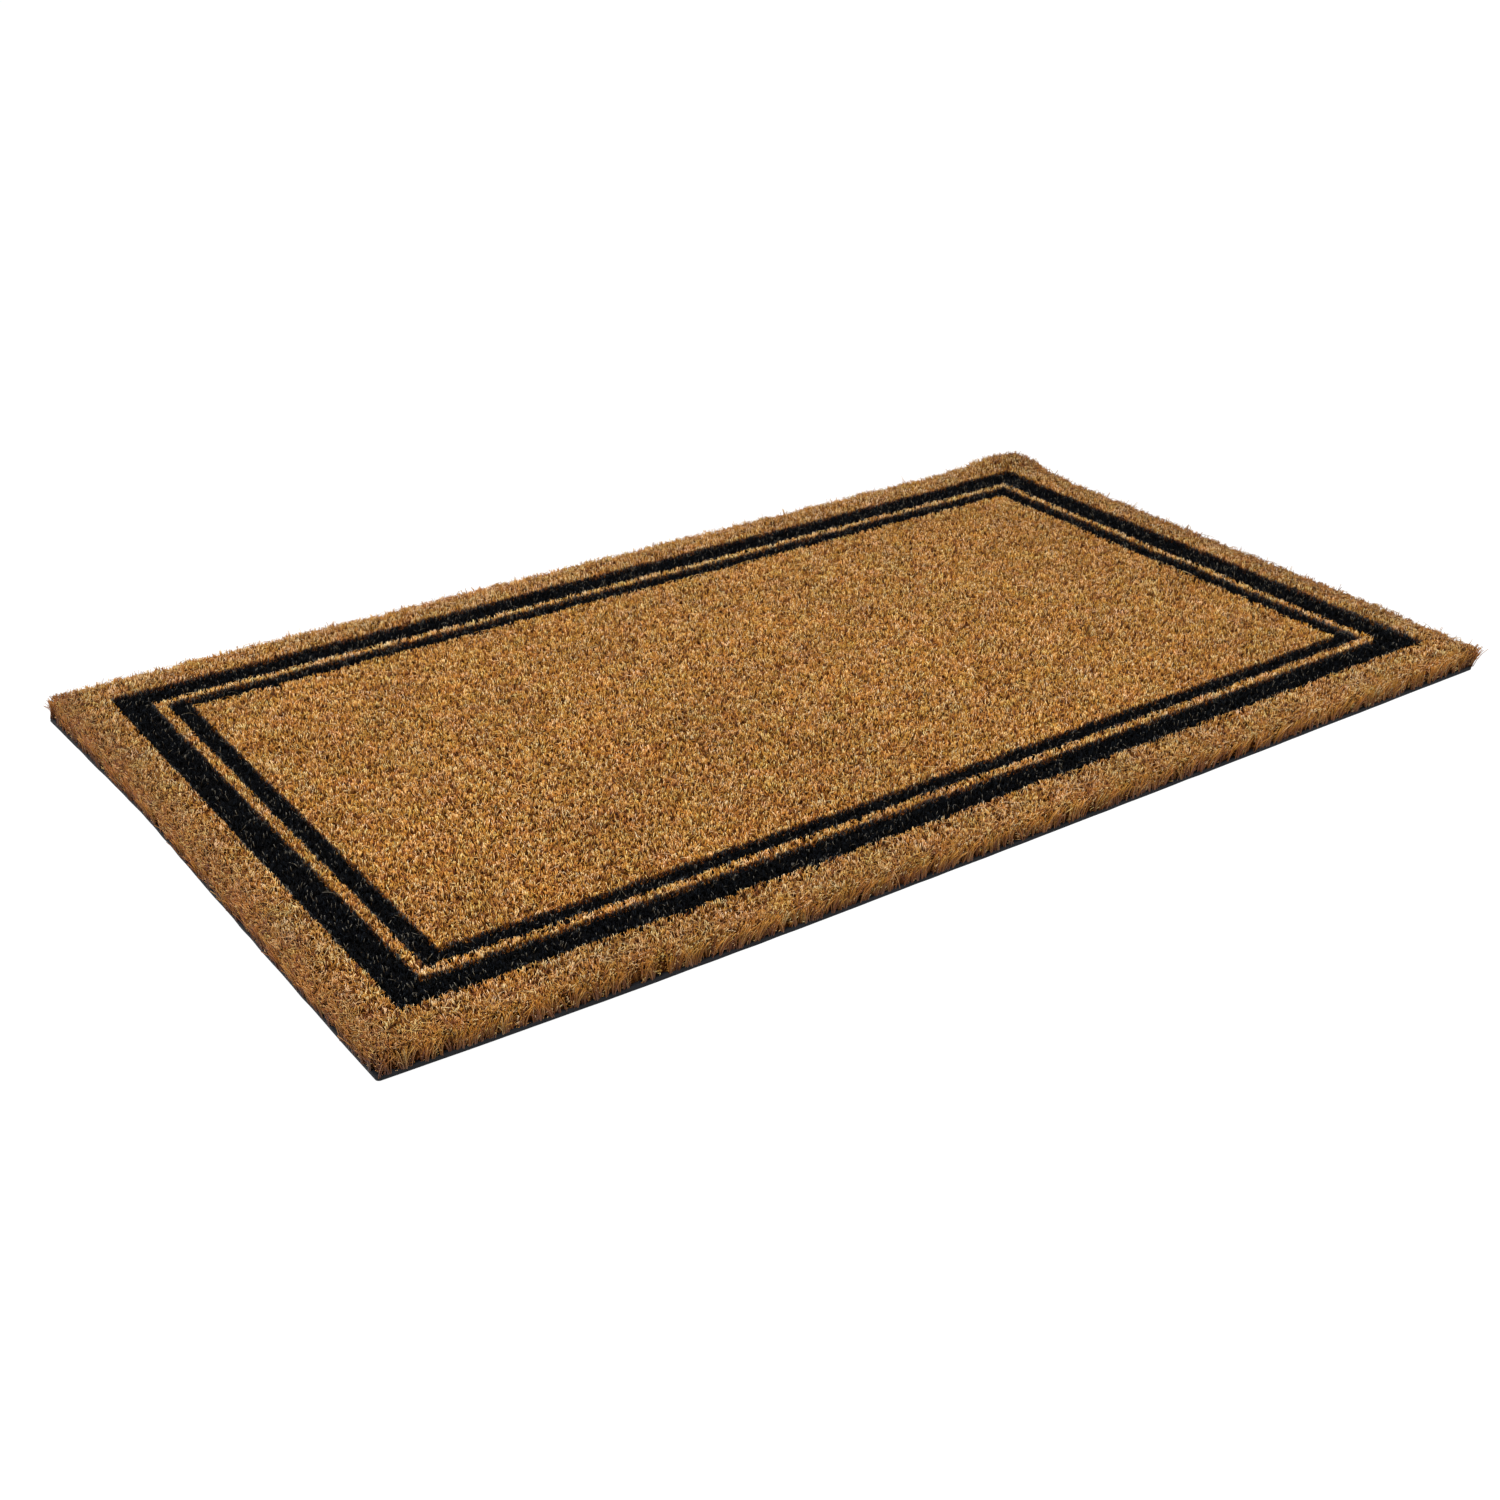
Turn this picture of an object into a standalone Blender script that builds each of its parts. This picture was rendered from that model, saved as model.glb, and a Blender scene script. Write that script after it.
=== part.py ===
"""Coir door mat: a flexible vinyl sheet with a cut coir pile bonded on it, the pile dyed in two dark frames.

Metres, +Z up. The mat lies on z = 0 with its long side along X, and the origin is under its middle.
The pile is one surface of loose tufts, so it is divided where its colour changes: a plain margin, a wide dark
band, a thin plain line and a narrow dark band round a plain field. Each band is four straight runs of tufts,
one along each side of the mat, that meet at mitred corners.
"""

import bmesh
import bpy
from mathutils import Vector

# Driving dimensions.
LENGTH = 0.7366
WIDTH = 0.4318
THICKNESS = 0.0170
BACKING_THICKNESS = 0.0025
CORNER_RADIUS = 0.0025
SHOULDER_RADIUS = 0.0020
BACKING_EDGE_RADIUS = 0.0004
PILE_SETBACK = 0.0004
SEAM = 0.0003

# Widths of the pile's zones, from the mat's edge inwards. The field takes what is left.
MARGIN_WIDTH = 0.0244
OUTER_BAND_WIDTH = 0.0173
GAP_WIDTH = 0.0072
INNER_BAND_WIDTH = 0.0104

CORNER_SEGMENTS = 8
SHOULDER_SEGMENTS = 4
BACKING_EDGE_SEGMENTS = 2
SMOOTH_ANGLE = 0.6

# Base colour, roughness and metallic value.
VINYL = ("vinyl", (0.030, 0.031, 0.034), 0.60, 0.0)
COIR = ("coir", (0.440, 0.262, 0.095), 0.85, 0.0)
DYED_COIR = ("dyed_coir", (0.012, 0.011, 0.013), 0.80, 0.0)

# The mat's sides, as the direction that each one faces.
SIDES = {"front": (0, -1), "right": (1, 0), "back": (0, 1), "left": (-1, 0)}


def clear_scene():
    """Removes the objects that the scene starts with."""
    for obj in list(bpy.data.objects):
        bpy.data.objects.remove(obj)


def material(name, colour, roughness, metallic):
    """A Principled material, made once for each name."""
    made = bpy.data.materials.get(name)
    if made is None:
        made = bpy.data.materials.new(name)
        made.use_nodes = True
        shader = made.node_tree.nodes["Principled BSDF"]
        shader.inputs["Base Color"].default_value = (*colour, 1.0)
        shader.inputs["Roughness"].default_value = roughness
        shader.inputs["Metallic"].default_value = metallic
    return made


def rectangle(bm, inset):
    """One upward face at z = 0, its sides `inset` inside the mat's sides."""
    half_x = LENGTH / 2 - inset
    half_y = WIDTH / 2 - inset
    corners = ((-half_x, -half_y), (half_x, -half_y), (half_x, half_y), (-half_x, half_y))
    face = bm.faces.new([bm.verts.new((x, y, 0.0)) for x, y in corners])
    bm.normal_update()
    return face


def open_frame(bm, face, frame_width):
    """Turns a face into a frame of that width, open in the middle."""
    bmesh.ops.inset_region(
        bm, faces=[face], thickness=frame_width, use_boundary=True, use_even_offset=True
    )
    bmesh.ops.delete(bm, geom=[face], context="FACES_ONLY")


def raise_to(bm, height):
    """Extrudes the flat faces into a closed solid of that height."""
    raised = bmesh.ops.extrude_face_region(bm, geom=bm.faces[:], use_keep_orig=True)
    top = [item for item in raised["geom"] if isinstance(item, bmesh.types.BMVert)]
    bmesh.ops.translate(bm, verts=top, vec=(0.0, 0.0, height))
    bmesh.ops.recalc_face_normals(bm, faces=bm.faces[:])


def round_corners(bm, inset):
    """Rounds the four upright edges at the solid's outer corners."""
    corner = Vector((LENGTH / 2 - inset, WIDTH / 2 - inset))
    upright = [
        edge
        for edge in bm.edges
        if (edge.verts[0].co.xy - edge.verts[1].co.xy).length < SEAM
        and (Vector(map(abs, edge.verts[0].co.xy)) - corner).length < SEAM
    ]
    bmesh.ops.bevel(
        bm, geom=upright, offset=CORNER_RADIUS, segments=CORNER_SEGMENTS, profile=0.5, affect="EDGES"
    )


def round_rim(bm, inset, height, radius, segments):
    """Rounds the level edges that run round the outside of the solid at that height."""
    def outside(vert):
        past_x = abs(vert.co.x) > LENGTH / 2 - inset - CORNER_RADIUS * 1.01
        past_y = abs(vert.co.y) > WIDTH / 2 - inset - CORNER_RADIUS * 1.01
        return (past_x or past_y) and abs(vert.co.z - height) < radius / 10

    rim = [
        edge
        for edge in bm.edges
        if all(outside(vert) for vert in edge.verts)
        and any(abs(face.normal.z) < 0.5 for face in edge.link_faces)
    ]
    bmesh.ops.bevel(bm, geom=rim, offset=radius, segments=segments, profile=0.5, affect="EDGES")


def keep_one_side(bm, side):
    """Cuts a frame down to its run along one side, half a seam short of the mitre at each end."""
    facing = Vector((*SIDES[side], 0.0))
    for neighbour in (Vector((-facing.y, facing.x, 0.0)), Vector((facing.y, -facing.x, 0.0))):
        both = facing + neighbour
        corner = Vector((both.x * LENGTH / 2, both.y * WIDTH / 2, 0.0))
        away = (neighbour - facing).normalized()
        bmesh.ops.bisect_plane(
            bm,
            geom=bm.verts[:] + bm.edges[:] + bm.faces[:],
            plane_co=corner - away * SEAM / 2,
            plane_no=away,
            clear_outer=True,
        )
        bmesh.ops.holes_fill(bm, edges=bm.edges[:])
    bmesh.ops.recalc_face_normals(bm, faces=bm.faces[:])


def add_part(name, bm, height_above_floor, finish):
    """Makes the finished solid an object at its height, smooth apart from its sharp edges."""
    mesh = bpy.data.meshes.new(name)
    bm.to_mesh(mesh)
    bm.free()
    mesh.materials.append(material(*finish))
    mesh.shade_smooth()
    mesh.set_sharp_from_angle(angle=SMOOTH_ANGLE)
    obj = bpy.data.objects.new(name, mesh)
    obj.location.z = height_above_floor
    bpy.context.scene.collection.objects.link(obj)


def add_backing():
    """The vinyl sheet under the pile, with its cut edges slightly eased."""
    bm = bmesh.new()
    rectangle(bm, 0.0)
    raise_to(bm, BACKING_THICKNESS)
    round_corners(bm, 0.0)
    for height in (0.0, BACKING_THICKNESS):
        round_rim(bm, 0.0, height, BACKING_EDGE_RADIUS, BACKING_EDGE_SEGMENTS)
    add_part("vinyl_backing", bm, 0.0, VINYL)


def add_pile():
    """The pile's zones, each a seam inside the one before it, from the edge to the field."""
    bottom = BACKING_THICKNESS + SEAM
    height = THICKNESS - bottom
    zones = (
        ("margin", PILE_SETBACK, MARGIN_WIDTH, COIR),
        ("outer_band", SEAM / 2, OUTER_BAND_WIDTH, DYED_COIR),
        ("gap_line", SEAM / 2, GAP_WIDTH, COIR),
        ("inner_band", SEAM / 2, INNER_BAND_WIDTH, DYED_COIR),
    )
    zone_edge = 0.0
    for name, setback, width, finish in zones:
        inset = zone_edge + setback
        for side in SIDES:
            bm = bmesh.new()
            open_frame(bm, rectangle(bm, inset), width - setback - SEAM / 2)
            raise_to(bm, height)
            if name == "margin":
                round_corners(bm, inset)
                round_rim(bm, inset, height, SHOULDER_RADIUS, SHOULDER_SEGMENTS)
            keep_one_side(bm, side)
            add_part(f"pile_{name}_{side}", bm, bottom, finish)
        zone_edge += width

    bm = bmesh.new()
    rectangle(bm, zone_edge + SEAM / 2)
    raise_to(bm, height)
    add_part("pile_field", bm, bottom, COIR)


clear_scene()
add_backing()
add_pile()
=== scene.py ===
import math

import bpy
import numpy as np
from mathutils import Matrix, Vector


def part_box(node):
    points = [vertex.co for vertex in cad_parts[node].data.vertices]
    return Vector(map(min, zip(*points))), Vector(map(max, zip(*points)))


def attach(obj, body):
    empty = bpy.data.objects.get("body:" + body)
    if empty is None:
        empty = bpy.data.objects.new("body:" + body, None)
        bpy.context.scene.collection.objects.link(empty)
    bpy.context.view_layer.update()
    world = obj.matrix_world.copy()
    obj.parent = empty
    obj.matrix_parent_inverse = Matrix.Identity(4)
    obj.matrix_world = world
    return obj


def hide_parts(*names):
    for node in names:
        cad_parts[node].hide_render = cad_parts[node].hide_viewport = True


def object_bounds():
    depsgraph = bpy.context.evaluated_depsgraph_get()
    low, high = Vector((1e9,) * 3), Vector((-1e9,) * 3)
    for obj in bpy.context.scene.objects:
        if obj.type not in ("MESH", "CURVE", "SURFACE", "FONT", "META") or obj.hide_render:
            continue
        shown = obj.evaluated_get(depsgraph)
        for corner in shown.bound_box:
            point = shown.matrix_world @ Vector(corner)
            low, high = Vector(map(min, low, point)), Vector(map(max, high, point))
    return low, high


# A coir door mat: a thin vinyl sheet, and on it a pile of real fibres with two dark bands dyed round it.
# The pile is an undercoat that fills it, cut fibre ends and bent ones that cover its top, tufts and stubs
# round its edge, and strays. Metres, radians, +Z up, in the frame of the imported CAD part. The front is the
# side at -Y, and the right the one at +X.

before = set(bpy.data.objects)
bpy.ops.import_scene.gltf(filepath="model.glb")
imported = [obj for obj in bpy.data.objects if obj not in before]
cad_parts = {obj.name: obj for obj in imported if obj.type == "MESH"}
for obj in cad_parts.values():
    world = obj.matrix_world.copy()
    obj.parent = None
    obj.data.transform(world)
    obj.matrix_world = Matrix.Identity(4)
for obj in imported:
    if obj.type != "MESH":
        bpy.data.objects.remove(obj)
CAD_LOW, CAD_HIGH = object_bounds()

# The mat, read from the frame.
HALF_X = (CAD_HIGH.x - CAD_LOW.x) / 2
HALF_Y = (CAD_HIGH.y - CAD_LOW.y) / 2
SHEET_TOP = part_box("vinyl_backing")[1].z
PILE_TOP = CAD_HIGH.z
SIDES = ("front", "right", "back", "left")
ZONES = ("margin", "outer_band", "gap_line", "inner_band", "field")
MARGIN, OUTER_BAND, GAP_LINE, INNER_BAND, FIELD = range(len(ZONES))


def inset_of(zone):
    """How far the near and far edge of a zone of the pile are from the mat's edge."""
    low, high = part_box(f"pile_{zone}_front")
    return low.y - CAD_LOW.y, high.y - CAD_LOW.y


MARGIN_INNER = inset_of("margin")[1]
BANDS = (inset_of("outer_band"), inset_of("inner_band"))
OUTER_MIDDLE = sum(BANDS[0]) / 2
FIELD_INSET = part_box("pile_field")[0].y - CAD_LOW.y

# The camera.
CAMERA_PLACE = (-0.6207, -0.8584, 0.5086)
CAMERA_HEADING = math.radians(34.74)
CAMERA_DOWN = math.radians(27.33)
CAMERA_ROLL = math.radians(-0.12)
CAMERA_LENS_MM = 46.92
CAMERA_REACH = (0.02, 50.0)

# The studio. The sky is brightest up to a height of WORLD_RISE[0] in it, and dimmest above WORLD_RISE[1].
WHITE = (1.0, 1.0, 1.0, 1.0)
FLOOR_GREY = (0.05, 0.05, 0.05, 1.0)
FLOOR_REACH = 12.0
FLOOR_GAP = 0.0001
KEY_PLACE = (-0.70, -0.50, 1.65)
KEY_SIZE = 0.9
KEY_POWER = 53.0
WORLD_RISE = (0.30, 0.65)
WORLD_STRENGTH = (1.0, 0.48)

# Smooth noise, as layers: weight, size of its bumps, seed. It has LATTICE random values each way, and starts
# NOISE_ORIGIN before the mat's middle.
CUT_NOISE = ((0.00035, 0.021, 1), (0.00035, 0.0065, 2))
LUMP_NOISE = ((0.8, 0.0022, 14), (0.4, 0.007, 16))
GAP_NOISE = ((1.4, 0.0030, 17), (0.6, 0.0014, 18))
SWAY_NOISE = ((0.22, 0.011, 15),)
SHEET_EDGE_NOISE = ((0.00025, 0.012, 5),)
UNDERCOAT_NOISE = ((0.0006, 0.004, 7),)
LATTICE = 512
NOISE_ORIGIN = 1.0

# The mat's shape. Each corner that is out of place has the side of X and Y that it is on, how far its tip is
# moved at the floor and at the top, and how far that reaches.
CORNER_RADIUS = 0.0018
CORNER_LIFT = 0.0028
CORNER_CURL = 0.25
CORNER_STRETCH = (
    ((-1, 1), (-0.0062, 0.0, 0.0), (-0.0010, 0.0, 0.0), 0.14),
    ((1, 1), (0.0050, 0.0025, 0.0022), (0.0050, 0.0025, 0.0022), 0.08),
    ((1, -1), (-0.0028, 0.0, 0.0), (-0.0028, 0.0, 0.0), 0.20),
)
FRONT_BOW = 0.0021
BOW_SKEW = 0.45

# The vinyl sheet. Its flat faces have rings of points at these shares of the way to its edge, and an edge
# that turns by more than SHEET_SHARP is sharp.
SHEET_RINGS = (0.3, 0.5, 0.65, 0.8, 0.92)
SHEET_STEP = 0.004
SHEET_SETBACK = 0.0003
SHEET_EASE = 0.0005
SHEET_SHARP = 1.0

# The pile's cut top, its rounded shoulder, and the crown of taller pile beside its far corner.
CUT_BELOW_TOP = 0.0006
SHOULDER_WIDTH = 0.0050
SHOULDER_DROP = 0.0020
EDGE_ROUGHNESS = 0.0024
EDGE_REACH = 0.006
CROWN_HEIGHT = 0.0045
CROWN_REACH = 0.050
CROWN_WIDTH = 0.020

# The undercoat.
UNDERCOAT_DEPTH = 0.0036
UNDERCOAT_INSET = 0.0024
UNDERCOAT_CELL = 0.0030
UNDERCOAT_FALL = 0.0022
UNDERCOAT_FALL_WIDTH = 0.004

# The fibres.
ROOT_INSET = 0.0010
FIBRE_RADIUS = (0.00017, 0.00030)
BENT_RADIUS = (0.00014, 0.00024)
STRAY_RADIUS = (0.00014, 0.00022)
FIBRE_TAPER = 0.4
TUBE_SIDES = 3
BENT_SEGMENTS = 3
STRAY_SEGMENTS = 6
LEAST_RISE = 0.0005
MOST_TRIANGLES = 195000
# A tube's patch of the UV map: how far across it the tube's corners are, and how far from its ends.
PATCH_COLUMNS = (0.2, 0.5, 0.8)
PATCH_EDGE = 0.15

# The cut fibre ends, which stand in clumps. A clump keeps SHARE * number ** POWER of its fibres, number being
# its own random one. Its unevenness and tones are given for the margin first, and then for the rest.
FIBRES_PER_M2 = 1750000
ROOT_DEPTH = 0.0042
DEPTH_SPREAD = (0.9, 1.1)
CLUMP_SEED = 11
CLUMP_SPACING = 0.00105
CLUMP_PULL = 0.30
CLUMP_LEAN = 0.75
CLUMP_UNEVENNESS = (0.0018, 0.0008)
CLUMP_TONES = (1.05, 0.80)
THINNING_SHARE = 2.2
THINNING_POWER = 2.4
TIP_SCATTER = 0.00055
TIP_UNEVENNESS = 0.00025
FIBRE_TONE = 0.46
FIBRE_TONE_SPREAD = 0.21
# How much lighter the line between the bands is than the rest, on each side.
GAP_TONES = (0.12, 0.18, 0.28, 0.06)
# At the edge they lean out. Some clumps and a few lone fibres poke up there, and out by a share of that.
EDGE_LEAN = 0.0012
EDGE_POKE = 0.0034
POKE_POWER = 7
POKE_MEAN = 0.15
POKE_OUT = 0.5
LONE_POKE = 0.7
LONE_RARITY = 0.985

# The bent fibres. A lean is given where a fibre starts and where it ends, and a tone by its mean and spread.
BENT_PER_M2 = 120000
BENT_DEPTH = 0.0030
BENT_ABOVE = 0.0003
BENT_LEAN = ((0.1, 0.5), (1.1, 1.7))
BENT_LENGTH = (0.0040, 0.0075)
BENT_TURN = 1.0
BENT_TONE = (0.62, 0.20)

# The strays. A third of them start near each pair of edges.
STRAY_COUNT = 4200
STRAY_EDGE_INSET = 0.002
STRAY_EDGE_WIDTH = 0.012
STRAY_OVERHANG = 0.0006
STRAY_DEPTH = 0.003
STRAY_ABOVE = 0.0010
STRAY_LEAN = ((0.1, 0.6), (1.3, 2.1))
STRAY_LENGTH = (0.008, 0.017)
STRAY_TURN = 1.8
STRAY_TONE = (0.80, 0.15)

# The tufts of bristles round the edge, in rows from the outside in. They lean along the edge and out from it.
# TUFT_JITTER is how far they are off their places, along the edge and out, and TUFT_TONES how much their
# tones vary, by tuft and by bristle. A bristle leans BRISTLE_BEND times its slope at its foot and at its tip.
TUFT_SPACING = 0.0030
TUFT_INSET = 0.0006
TUFT_ROWS = 3
TUFT_ROW_STEP = 0.0016
LEAST_CORNER = 0.0004
TUFT_JITTER = (0.0008, 0.0003)
TUFT_FIBRES = 12
TUFT_LENGTH = 0.014
TUFT_HALF_WIDTH = 0.0005
TUFT_ROOTED = 0.0004
TUFT_ABOVE = 0.001
TUFT_LEAN = 0.13
TUFT_FAN = 0.10
TUFT_OUT = 0.08
TUFT_OUT_STEP = 0.04
TUFT_OUT_SPREAD = 0.04
TUFT_LUMP_OUT = 0.10
TUFT_TONE = 0.42
TUFT_TONES = (0.10, 0.18)
# The painted depth shade at a bristle's root, as a level from 0 to 1.
TUFT_ROOT_SHADE_LEVEL = 0.48
BRISTLE_LEAN = 0.07
BRISTLE_OUT_ENDS = (-0.3, 0.35)
BRISTLE_DROOP = 0.22
BRISTLE_TURN = 0.5
BRISTLE_BEND = (0.6, 1.3)
BRISTLE_SHORTFALL = 0.0035

# The stubs on the cut side, and the dark gaps in it. They climb up from level, and slant along the edge. A
# clump keeps STUB_THINNING[0] + STUB_THINNING[1] * number of them. STUB_REACH is how far past the edge they
# reach at the sheet, and how much further up, till they draw back from STUB_SHOULDER_FROM of the height on.
STUBS_PER_M2 = 1300000
STUB_RING_STEP = 0.001
STUB_CROWDING = 1.3
STUB_REACH_DOWN = 0.93
STUB_THINNING = (0.15, 1.2)
STUB_LENGTH = (0.0022, 0.0042)
STUB_CLIMB = 0.75
STUB_CLIMB_ENDS = (0.1, 1.4)
STUB_CLUMP_CLIMB = 0.5
STUB_CLUMP_SLANT = 0.9
STUB_SPREAD = 0.25
STUB_REACH = (-0.0004, 0.0010)
STUB_REACH_SPREAD = 0.0002
STUB_CLUMP_REACH = 0.0008
STUB_ROUGHNESS = 0.7
STUB_SHOULDER = 0.0014
STUB_SHOULDER_FROM = 0.8
STUB_SLANT_SHARE = 0.6
STUB_LIFT_SHARE = 0.5
STUB_CLUMP_SHIFT = 0.01
STUB_TONE = 0.52
STUB_TONE_SPREAD = 0.17
STUB_CLUMP_TONES = 1.25
# The painted depth shade at a stub's root, as a level from 0 to 1.
STUB_ROOT_SHADE_LEVEL = 0.44
GAP_THRESHOLD = 0.18
GAP_HIGHEST = 0.80
GAP_OPEN = 0.25
GAP_RAGGEDNESS = (0.7, 1.1)

# The print: how it strays from the CAD's zones. It is further in from the far sides, and wider there.
PRINT_BLEED = 0.0008
PRINT_SOFTNESS = 0.0002
PRINT_WANDER = 0.0018
PRINT_FRAY = 0.0006
FAR_INSET = 0.0019
FAR_BLEED = 0.0009
RIGHT_BLEED = 0.0018
RIGHT_BLEED_ENDS = (OUTER_MIDDLE - 0.005, OUTER_MIDDLE + 0.005)

# Colours, linear. A fibre's own tone picks its place from 0 to 1 on COIR or on the dye's ramp, and DEPTH
# darkens
# its root: painted shade, for the shade deep in the pile.
COIR = (
    (0.0, (0.165, 0.044, 0.0005)),
    (0.30, (0.335, 0.127, 0.0045)),
    (0.65, (0.540, 0.266, 0.028)),
    (1.0, (0.765, 0.590, 0.335)),
)
# The dye's near black. Its bluish tint is painted sheen, the cool glint that the dark bands catch at a slant;
# its last stop is the few undyed fibres.
DYE_AND_SHEEN = (
    (0.0, (0.0006, 0.0007, 0.0011)),
    (0.70, (0.0022, 0.0029, 0.0046)),
    (0.95, (0.0075, 0.0110, 0.0170)),
    (1.0, (0.1100, 0.1040, 0.0920)),
)
DEPTH = (
    (0.0, (0.05, 0.025, 0.015)),
    (0.50, (0.38, 0.25, 0.13)),
    (0.80, (0.93, 0.84, 0.66)),
    (1.0, (1.0, 1.0, 1.0)),
)
VINYL = ((0.005, 0.0055, 0.007), (0.010, 0.0105, 0.013))
PALE_TINT = (1.0, 1.0, 1.22)
YELLOW_TINT = (1.0, 0.98, 0.72)
RED_TINT = (1.05, 0.94, 0.95)
GREEN_TINT = (0.96, 1.05, 1.0)
MARGIN_TINT = (0.86, 0.85, 0.88)
# Painted shade, which darkens the natural pile towards its edges: the first of these two tints at its left
# and right ends, the second at its front and back, each within its reach below.
END_SHADE = (0.62, 0.52, 0.36)
SIDE_SHADE = (0.90, 0.86, 0.76)
NO_TINT = (1.0, 1.0, 1.0)
END_SHADE_REACH = 0.018
SIDE_SHADE_REACH = 0.012
BROAD_CONTRAST = (0.92, 1.07)

# The materials' noises, as scale and detail, and where in them a change starts and ends. The undercoat's
# depths go on with the levels of painted depth shade that they start and end with.
WANDER_NOISE = (130.0, 3.0)
YELLOW_NOISE = (60.0, 4.0)
RED_NOISE = (95.0, 3.0)
RED_STRETCH = (1.0, 1.3, 1.0)
PATCH_ENDS = (0.34, 0.66)
BROAD_NOISE = (17.0, 3.0)
BROAD_ENDS = (0.35, 0.65)
UNDERCOAT_CLUMPS = (900.0, 3.0)
UNDERCOAT_TONES = (0.3, 0.7)
UNDERCOAT_SHADE_DEPTHS = (0.3, 0.75, 0.05, 0.50)
VINYL_PEBBLES = (1500.0, 3.0)
VINYL_WEAR = (90.0, 5.0)
VINYL_WEAR_ENDS = (0.3, 0.7)

# How rough, shiny and bumpy the materials are.
FIBRE_ROUGHNESS = 0.55
COIR_SHINE = 0.45
DYED_SHINE = 0.03
UNDERCOAT_ROUGHNESS = 0.9
UNDERCOAT_SHINE = 0.1
UNDERCOAT_BUMP = 0.0012
VINYL_ROUGHNESS = 0.7
VINYL_SHINE = 0.15
VINYL_BUMP = 0.0003
VINYL_BUMP_STRENGTH = 0.6
FLOOR_ROUGHNESS = 0.95

rng = np.random.default_rng(20)




# ---------------------------------------------------------------- shapes of the mat and of its pile

def clipped(values):
    """The values, kept between 0 and 1."""
    return np.clip(values, 0, 1)


def unit(vectors):
    """The vectors, each made 1 long."""
    return vectors / np.maximum(np.linalg.norm(vectors, axis=-1, keepdims=True), 1e-9)


def smooth_noise(x, y, cell, seed):
    """Smooth noise from -1 to 1 over the mat, with bumps about a cell across."""
    lattice = np.random.default_rng(seed).uniform(-1, 1, (LATTICE, LATTICE))
    u, v = (x + NOISE_ORIGIN) / cell, (y + NOISE_ORIGIN) / cell
    i, j = np.floor(u).astype(int), np.floor(v).astype(int)
    s, t = u - i, v - j
    s, t = s * s * (3 - 2 * s), t * t * (3 - 2 * t)
    i, j = i % (LATTICE - 1), j % (LATTICE - 1)
    near = lattice[i, j] * (1 - s) + lattice[i + 1, j] * s
    far = lattice[i, j + 1] * (1 - s) + lattice[i + 1, j + 1] * s
    return near * (1 - t) + far * t


def layered_noise(x, y, layers):
    """The sum of some layers of smooth noise, each with its weight."""
    return sum(weight * smooth_noise(x, y, cell, seed) for weight, cell, seed in layers)


def clumps(x, y):
    """The clump of fibres that each point is in: the way to its middle, and its own five random numbers."""
    table = np.random.default_rng(CLUMP_SEED).uniform(size=(LATTICE, LATTICE, 7))
    i, j = np.floor(x / CLUMP_SPACING).astype(int), np.floor(y / CLUMP_SPACING).astype(int)
    nearest = np.full(len(x), np.inf)
    way, own = np.zeros((len(x), 2)), np.zeros((len(x), 5))
    for di in (-1, 0, 1):
        for dj in (-1, 0, 1):
            numbers = table[(i + di) % LATTICE, (j + dj) % LATTICE]
            dx = (i + di + numbers[:, 0]) * CLUMP_SPACING - x
            dy = (j + dj + numbers[:, 1]) * CLUMP_SPACING - y
            distance = np.hypot(dx, dy)
            nearer = distance < nearest
            nearest[nearer] = distance[nearer]
            way[nearer] = np.column_stack([dx, dy])[nearer]
            own[nearer] = numbers[nearer, 2:]
    return way, own


def edge_distance(x, y):
    """How far inside the mat's rounded outline each point is."""
    dx = np.abs(x) - (HALF_X - CORNER_RADIUS)
    dy = np.abs(y) - (HALF_Y - CORNER_RADIUS)
    outside = np.hypot(np.maximum(dx, 0), np.maximum(dy, 0))
    return CORNER_RADIUS - outside - np.minimum(np.maximum(dx, dy), 0)


def lift(x, y):
    """How far the sheet has risen off the floor: its front left corner curls up a little."""
    from_corner = np.hypot(x + HALF_X, y + HALF_Y)
    return CORNER_LIFT * clipped(1 - from_corner / CORNER_CURL) ** 2


def edge_lumps(x, y):
    """From -1 to 1: where the tufts round the edge stick out or up, and where they draw back."""
    return layered_noise(x, y, LUMP_NOISE)


def side_gaps(x, y):
    """How far up the cut side the dark gaps between its tufts reach, as a share of its height."""
    return np.clip(layered_noise(x, y, GAP_NOISE) - GAP_THRESHOLD, 0, GAP_HIGHEST)


def crown(x, y):
    """How much taller the pile stands along the edge beside its far corner, at the back right."""
    from_corner = np.hypot(x - HALF_X, y - HALF_Y)
    beside = clipped(from_corner / CROWN_WIDTH) * np.sqrt(clipped(1 - from_corner / CROWN_REACH))
    return CROWN_HEIGHT * beside * clipped(1 - edge_distance(x, y) / CROWN_WIDTH)


def stretched(points):
    """The mat isn't quite a rectangle: three corners are pushed out of place, and its front side bows out."""
    up = clipped(points[:, 2:] / PILE_TOP)
    for corner, at_floor, at_top, radius in CORNER_STRETCH:
        distance = np.hypot(points[:, 0] - corner[0] * HALF_X, points[:, 1] - corner[1] * HALF_Y)
        push = np.array(at_floor) * (1 - up) + np.array(at_top) * up
        points = points + clipped(1 - distance / radius)[:, None] * push
    along, forward = points[:, 0] / HALF_X, clipped(-points[:, 1] / HALF_Y)
    points[:, 1] -= FRONT_BOW * (1 - BOW_SKEW * along) * clipped(1 - along ** 2) * forward
    return points


def cut_height(x, y):
    """The height that the pile is cut to, uneven by a fraction of a millimetre and lower at its shoulder."""
    inside = clipped(edge_distance(x, y) / SHOULDER_WIDTH)
    uneven = layered_noise(x, y, CUT_NOISE) + EDGE_ROUGHNESS * edge_lumps(x, y) * (1 - inside)
    level = PILE_TOP - CUT_BELOW_TOP + uneven - SHOULDER_DROP * (1 - inside) ** 2
    return level + lift(x, y) + crown(x, y)


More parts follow.
